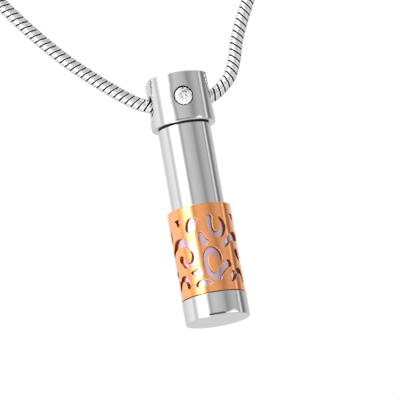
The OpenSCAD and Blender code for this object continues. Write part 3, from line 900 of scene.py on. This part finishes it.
class PENDANT_OT_sleeve(bpy.types.Operator):
    """Rose gold sleeve whose scroll pattern is cut right through, with rounded edges"""

    bl_idname = "pendant.sleeve"
    bl_label = "Pierced sleeve"

    def execute(self, context):
        s = context.scene.pendant_sizes
        outer, bore = SLEEVE_HIGH.x, s.sleeve_bore
        low, high = SLEEVE_LOW.z, SLEEVE_HIGH.z
        height = high - low
        columns = SLEEVE_COLUMNS * REPEATS
        across = np.linspace(0, 2 * math.pi / REPEATS, SLEEVE_COLUMNS + 1) * outer
        down = np.linspace(s.edge, height - s.edge, SLEEVE_ROWS)
        x, y = np.meshgrid(across, down)
        gap = pierced_distance(x, y, height, outer)
        gap = np.concatenate([np.tile(gap[:, :-1], (1, REPEATS)), gap[:, :1]], 1)
        keep = gap - s.hole_rounding
        cell = y[1, 0] - y[0, 0]
        keep = np.where(np.abs(keep) < LEAST_CUT * cell,
                        np.where(keep < 0, -LEAST_CUT, LEAST_CUT) * cell, keep)
        x, y = np.meshgrid(np.linspace(0, 2 * math.pi, columns + 1) * outer, down)
        wide = np.concatenate([gap[:, -2:-1], gap, gap[:, 1:2]], 1)
        slope_x = (wide[:, 2:] - wide[:, :-2]) / (2 * (x[0, 1] - x[0, 0]))
        slope_y = np.gradient(gap, cell, axis=0)

        triangles, ends, share, border = cut_grid(keep)
        flat = between(np.stack([x, y], -1), ends, share)
        slope = unit(between(np.stack([slope_x, slope_y], -1), ends, share))
        turn = math.radians(PATTERN_TURN)

        def placed(plane, radius):
            """Points of the unrolled sleeve, rolled up at a radius."""
            return round_about(radius, plane[:, 0] / outer + turn, high - plane[:, 1])

        def outward(plane, towards, lean):
            """Normals that lean from the radius, at lean zero, to the flat direction given."""
            angle = plane[:, 0] / outer + turn
            radial = round_about(1.0, angle, 0.0)
            along = np.stack([np.cos(angle), np.sin(angle), np.zeros(len(angle))], 1)
            flat_way = along * towards[:, :1] - np.array((0, 0, 1)) * towards[:, 1:]
            return radial * math.cos(lean) + flat_way * math.sin(lean)

        points = placed(flat, outer)
        patches = [patch(points, outward(flat, slope, 0), triangles)]
        first = keep.size
        edge, into = flat[first:], -slope[first:]
        ring, ring_normals = points[first:], outward(edge, into, 0)
        for t in CUT_QUARTER[1:]:
            moved = edge + into * s.hole_rounding * math.sin(t)
            moved_points = placed(moved, outer - s.hole_rounding * (1 - math.cos(t)))
            moved_normals = outward(moved, into, t)
            patches.append(wall(border, ring, moved_points, ring_normals, moved_normals))
            ring, ring_normals = moved_points, moved_normals
        last = edge + into * s.hole_rounding
        inner_edge = placed(last, bore)
        # The openings' walls take the gold with painted shade
        patches.append((wall(border, ring, inner_edge, ring_normals, ring_normals), 1))
        inner_y, rows_y = flat[:, 1].copy(), y.ravel()
        inner_y[:first] = np.where(
            rows_y <= down[0], 0, np.where(rows_y >= down[-1], height, rows_y))
        inner = placed(np.stack([flat[:, 0], inner_y], 1), bore)
        inner[first:] = inner_edge
        patches.append(patch(inner, -outward(flat, slope, 0), triangles[:, ::-1]))

        top = rounded([(outer, high - s.edge, 0), (outer, high, s.edge), (bore, high, 0)])
        bottom = rounded([(bore, low, 0), (outer, low, s.edge), (outer, low + s.edge, 0)])
        angle = np.linspace(0, 2 * math.pi, columns + 1) + turn
        # The lower edge takes the gold with painted shade
        patches += [(turned(top, angle), 0), (turned(bottom, angle), 1)]
        make_piece("pierced_sleeve", patches, [rose_gold(), painted_shade_gold()], "urn", "filigree_sleeve")
        return {"FINISHED"}


def chain_curve():
    """The chain's middle line in metres and the length run at each of its points."""
    line = smooth_rows(ROUTE, SPAN_STEPS) * MM + (0, EYE_Z)
    run = np.concatenate([[0], np.cumsum(np.linalg.norm(np.diff(line, axis=0), axis=1))])
    return line, run


class PENDANT_OT_chain(bpy.types.Operator):
    """Round snake chain: closely nested leaning rings along the whole loop"""

    bl_idname = "pendant.chain"
    bl_label = "Snake chain"

    def execute(self, context):
        s = context.scene.chain_sizes
        line, run = chain_curve()
        socket = s.socket_length - 2 * GAP
        links = int(round((run[-1] + 2 * socket) / s.pitch))
        pitch = (run[-1] + 2 * socket) / links
        # across a link, in shares of the pitch and of the radius, from edge to edge and back inside
        section = np.array([
            (-0.49, 0.72), (-0.42, 0.94), (-0.26, 1.0), (-0.05, 0.993), (0.0, 0.94), (0.05, 0.993),
            (0.26, 1.0), (0.42, 0.94), (0.49, 0.72), (0.0, 0.62)])
        angle = np.arange(LINK_SIDES) * 2 * math.pi / LINK_SIDES
        middle = (np.arange(links) + 0.5) * pitch - socket
        place = middle[:, None, None] + section[:, 0, None] * pitch - s.lean * np.sin(angle)
        place = np.clip(place, -socket, run[-1] + socket)
        ahead = unit(np.gradient(line, run, axis=0))
        over = np.where(place < 0, place, np.maximum(place - run[-1], 0))
        x, z, tx, tz = (np.interp(place, run, v) for v in (*line.T, *ahead.T))
        size = np.hypot(tx, tz)
        tx, tz = tx / size, tz / size
        x, z = x + over * tx, z + over * tz
        radius = section[:, 1, None] * s.radius
        out, front = radius * np.sin(angle), np.broadcast_to(-radius * np.cos(angle), x.shape)
        points = np.stack([x + tz * out, front, z - tx * out], -1)
        count = len(section)
        row, side = np.divmod(np.arange(count * LINK_SIDES), LINK_SIDES)
        row, next_row = row * LINK_SIDES, (row + 1) % count * LINK_SIDES
        beside = (side + 1) % LINK_SIDES
        one = np.stack([row + side, row + beside, next_row + beside, next_row + side], 1)
        faces = (one + np.arange(links)[:, None, None] * len(one)).reshape(-1, 4)
        mesh = bpy.data.meshes.new("chain_links")
        mesh.from_pydata(points.reshape(-1, 3), [], faces)
        mesh.materials.append(chain_steel())
        mesh.polygons.foreach_set("use_smooth", np.ones(len(faces), bool))
        across = np.clip(section[:, 0] + 0.5, 0, 1)
        across[-1] = 0.0
        shares = np.repeat(across, LINK_SIDES)
        corner_share = np.tile(shares[one].ravel(), links)
        places = np.stack([np.zeros_like(corner_share), corner_share], 1)
        mesh.uv_layers.new(name="across").uv.foreach_set("vector", places.ravel())
        mesh.update()
        set_in_place(mesh, "necklace", "chain")
        return {"FINISHED"}


class PENDANT_OT_clasp(bpy.types.Operator):
    """Plain barrel clasp at the nape, with a collar round each end of the chain"""

    bl_idname = "pendant.clasp"
    bl_label = "Clasp"

    def execute(self, context):
        c = context.scene.chain_sizes
        edge = context.scene.pendant_sizes.edge
        half, radius = CLASP_HIGH.x, (CLASP_HIGH.z - CLASP_LOW.z) / 2
        socket_r = c.radius + GAP
        collar_r = socket_r + c.socket_wall
        shoulder = half - 0.6 * c.socket_length
        slope = radius - collar_r
        groove, waist = 0.12 * MM, 0.35 * MM
        soft, neck, end = 0.05 * MM, 0.15 * MM, 0.3 * MM
        right = [
            (collar_r, shoulder, neck), (collar_r, half, edge), (socket_r, half, edge),
            (socket_r, half - c.socket_length, 0), (0, half - c.socket_length, 0)]
        left = [(r, -s, e) for r, s, e in right[::-1]]
        body = [
            (radius, -shoulder + slope, end), (radius, -waist, soft),
            (radius - groove, -waist + groove, soft), (radius - groove, waist - groove, soft),
            (radius, waist, soft), (radius, shoulder - slope, end)]
        points, normals, triangles = turned(
            rounded(left + body + right, steps=6), full_turn(CLASP_COLUMNS))
        middle = (CLASP_LOW.z + CLASP_HIGH.z) / 2
        points = points[:, [2, 1, 0]] * (1, 1, -1) + (0, 0, middle)
        normals = normals[:, [2, 1, 0]] * (1, 1, -1)
        make_piece("clasp_barrel", [(points, normals, triangles)], [polished_steel()], "necklace",
                   "clasp")
        return {"FINISHED"}


# The studio round the pendant, as brightness by the angle from the camera's side, in degrees to the
# right: soft panels, gaps between them and two narrow dark flags.
STUDIO = [
    (-180, 0.85), (-140, 0.92), (-128, 1.0), (-112, 1.17), (-88, 1.29), (-80, 0.9), (-74, 0.92),
    (-70, 1.25), (-64, 1.5), (-52, 3), (-42, 5), (-34, 5), (-28, 1.6), (-24, 1.15), (-20, 0.72),
    (-16, 0.58), (-9, 0.84), (2, 0.87), (16, 0.79), (30, 0.67), (43, 0.43), (54, 0.57), (66, 0.69),
    (80, 0.73), (89, 0.52), (95, 1.15), (99, 1.15), (103, 0.5), (107, 0.28), (116, 0.3),
    (128, 0.72), (180, 0.85),
]
# Low in the studio: the dark round the camera and a bright tent to its right. Each has its middle
# and reach round the pendant, its top over the horizon, the fall of its top from there to its side,
# all in degrees, and its brightness.
DARK = (2, 29, 3, 0, 0.16)
TENT = (65, 36, 7, 9, 1.6)
# Under them lies a glossy table: its top, its brightness in front and behind, the share of the
# studio that it hides, and how far from the middle it turns from one to the other.
TABLE_TOP, TABLE_FRONT, TABLE_BACK, TABLE_SHARE, TABLE_TURN = -3, 1.2, 0.75, 0.4, 0.6
SIDE_SOFT, TOP_SOFT = 2, 1  # half the width of all these borders, in degrees
# The floor's half size, its height and the number of points along a side
FLOOR_HALF, FLOOR_Z, FLOOR_POINTS = 12.0, -1.6, 9
# The lamp's place, size and power
KEY_PLACE, KEY_SIZE, KEY_POWER = (-0.5, -0.6, 0.5), 0.6, 9
# The camera: its turn and rise round the pendant and its roll, in degrees, its distance, the width
# of the picture there, and the place that it looks at
CAMERA_TURN, CAMERA_RISE, CAMERA_ROLL = 9.8, -11.6, 10.04
CAMERA_DISTANCE, PHOTO_WIDTH = 0.9, 0.0651
AIM_Z, AIM_RIGHT = -0.20672, 0.00052


class PENDANT_OT_stage(bpy.types.Operator):
    """Pale floor, soft studio round the pendant, and the camera at the photograph's angle"""

    bl_idname = "pendant.stage"
    bl_label = "Stage"

    def execute(self, context):
        scene = context.scene
        scene.view_settings.view_transform = "Standard"
        self.camera(scene)
        self.floor(scene)
        self.world(scene)
        self.lamp(scene)
        return {"FINISHED"}

    def camera(self, scene):
        """The camera, in front and low, rolled as the photograph is."""
        turn, rise = math.radians(-CAMERA_TURN), math.radians(CAMERA_RISE)
        level = math.cos(rise)
        back = Vector((math.sin(turn) * level, -math.cos(turn) * level, math.sin(rise)))
        plain = (-back).to_track_quat("-Z", "Y")
        right = plain @ Vector((1, 0, 0))
        data = bpy.data.cameras.new("camera")
        data.lens = data.sensor_width * CAMERA_DISTANCE / PHOTO_WIDTH
        camera = bpy.data.objects.new("camera", data)
        scene.collection.objects.link(camera)
        camera.location = Vector((0, 0, AIM_Z)) + right * AIM_RIGHT + back * CAMERA_DISTANCE
        rolled = plain.to_matrix() @ Matrix.Rotation(-math.radians(CAMERA_ROLL), 3, "Z")
        camera.rotation_euler = rolled.to_euler()
        scene.camera = camera

    def floor(self, scene):
        """A pale floor far below, which the metal doesn't mirror."""
        ends = np.linspace(-FLOOR_HALF, FLOOR_HALF, FLOOR_POINTS)
        x, y = np.meshgrid(ends, ends)
        mesh = bpy.data.meshes.new("floor")
        points = np.stack([x, y, np.full_like(x, FLOOR_Z)], -1).reshape(-1, 3)
        mesh.from_pydata(points, [], grid_triangles(FLOOR_POINTS, FLOOR_POINTS))
        pale = {"Base Color": (*scene.finish_colours.floor, 1), "Roughness": 0.6}
        mesh.materials.append(new_material("pale_floor", pale)[0])
        floor = bpy.data.objects.new("floor", mesh)
        scene.collection.objects.link(floor)
        floor.visible_glossy = floor.visible_transmission = False

    def world(self, scene):
        """The studio's light by its direction: the panels all round, with the dark and the tent
        over them low down, and the table below. The camera itself sees plain white."""
        scene.world = bpy.data.worlds.new("studio")
        scene.world.use_nodes = True
        tree = scene.world.node_tree
        tree.nodes.clear()
        way = add_node(tree, "TexCoord", {}).outputs["Generated"]
        x, y, z = add_node(tree, "SeparateXYZ", {0: way}).outputs
        turn = combined(tree, "ARCTAN2", x, combined(tree, "MULTIPLY", y, -1.0))
        around = combined(tree, "FRACT", combined(
            tree, "MULTIPLY_ADD", turn, 1 / (2 * math.pi), 0.5 + CAMERA_TURN / 360))
        brightest = max(value for _, value in STUDIO)
        greys = [((a + 180) / 360, [value / brightest] * 3) for a, value in STUDIO]
        light = combined(tree, "MULTIPLY", colour_ramp(tree, around, greys), brightest)
        forward = soft_step(tree, y, TABLE_TURN, -TABLE_TURN)
        table = blended(tree, forward, TABLE_BACK, TABLE_FRONT)
        table = blended(tree, TABLE_SHARE, light, table)

        for middle, reach, top, fall, shade in (DARK, TENT):
            aside = combined(tree, "SUBTRACT", around, 0.5 + middle / 360)
            aside = combined(tree, "ABSOLUTE", aside)
            raised = combined(tree, "MULTIPLY_ADD", aside, height_at(fall) * 360 / reach, z)
            share = combined(
                tree, "MULTIPLY",
                soft_step(tree, aside, (reach + SIDE_SOFT) / 360, (reach - SIDE_SOFT) / 360),
                soft_step(tree, raised, height_at(top + TOP_SOFT), height_at(top - TOP_SOFT)))
            light = blended(tree, share, light, shade)
        low = soft_step(
            tree, z, height_at(TABLE_TOP + TOP_SOFT), height_at(TABLE_TOP - TOP_SOFT))
        light = blended(tree, low, light, table)

        studio, plain = (
            add_node(tree, "Background", {"Color": (1, 1, 1, 1), "Strength": strength}).outputs[0]
            for strength in (light, 1.0))
        seen = add_node(tree, "LightPath", {}).outputs["Is Camera Ray"]
        mix = add_node(tree, "MixShader", {0: seen, 1: studio, 2: plain})
        add_node(tree, "OutputWorld", {"Surface": mix.outputs[0]})

    def lamp(self, scene):
        """A soft lamp from the upper left, which the metal doesn't mirror."""
        data = bpy.data.lights.new("key", "AREA")
        data.size, data.energy = KEY_SIZE, KEY_POWER
        lamp = bpy.data.objects.new("key", data)
        scene.collection.objects.link(lamp)
        lamp.location = KEY_PLACE
        towards = Vector((0, 0, AIM_Z)) - Vector(KEY_PLACE)
        lamp.rotation_euler = towards.to_track_quat("-Z", "Y").to_euler()
        lamp.visible_glossy = lamp.visible_transmission = False


OPERATORS = (
    PENDANT_OT_cap, PENDANT_OT_stone, PENDANT_OT_seal, PENDANT_OT_tube, PENDANT_OT_sleeve,
    PENDANT_OT_chain, PENDANT_OT_clasp, PENDANT_OT_stage,
)


class PENDANT_PT_panel(bpy.types.Panel):
    """Lists the pieces and their sizes in the sidebar"""

    bl_idname = "PENDANT_PT_panel"
    bl_label = "Keepsake urn pendant"
    bl_space_type = "VIEW_3D"
    bl_region_type = "UI"
    bl_category = "Pendant"

    def draw(self, context):
        for group in ("pendant_sizes", "chain_sizes", "finish_colours"):
            values = getattr(context.scene, group)
            for name in values.__annotations__:
                self.layout.prop(values, name)
        for operator in OPERATORS:
            self.layout.operator(operator.bl_idname)


GROUPS = {"pendant_sizes": PendantSizes, "chain_sizes": ChainSizes, "finish_colours": ColoursAndPaintedLight}


def register():
    for item in (*GROUPS.values(), *OPERATORS, PENDANT_PT_panel):
        bpy.utils.register_class(item)
    for name, group in GROUPS.items():
        setattr(bpy.types.Scene, name, PointerProperty(type=group))


def unregister():
    for name in GROUPS:
        delattr(bpy.types.Scene, name)
    for item in reversed((*GROUPS.values(), *OPERATORS, PENDANT_PT_panel)):
        bpy.utils.unregister_class(item)


def main():
    """Builds every piece and the stage."""
    register()
    for operator in OPERATORS:
        group, name = operator.bl_idname.split(".")
        getattr(getattr(bpy.ops, group), name)()


if __name__ == "__main__":
    main()
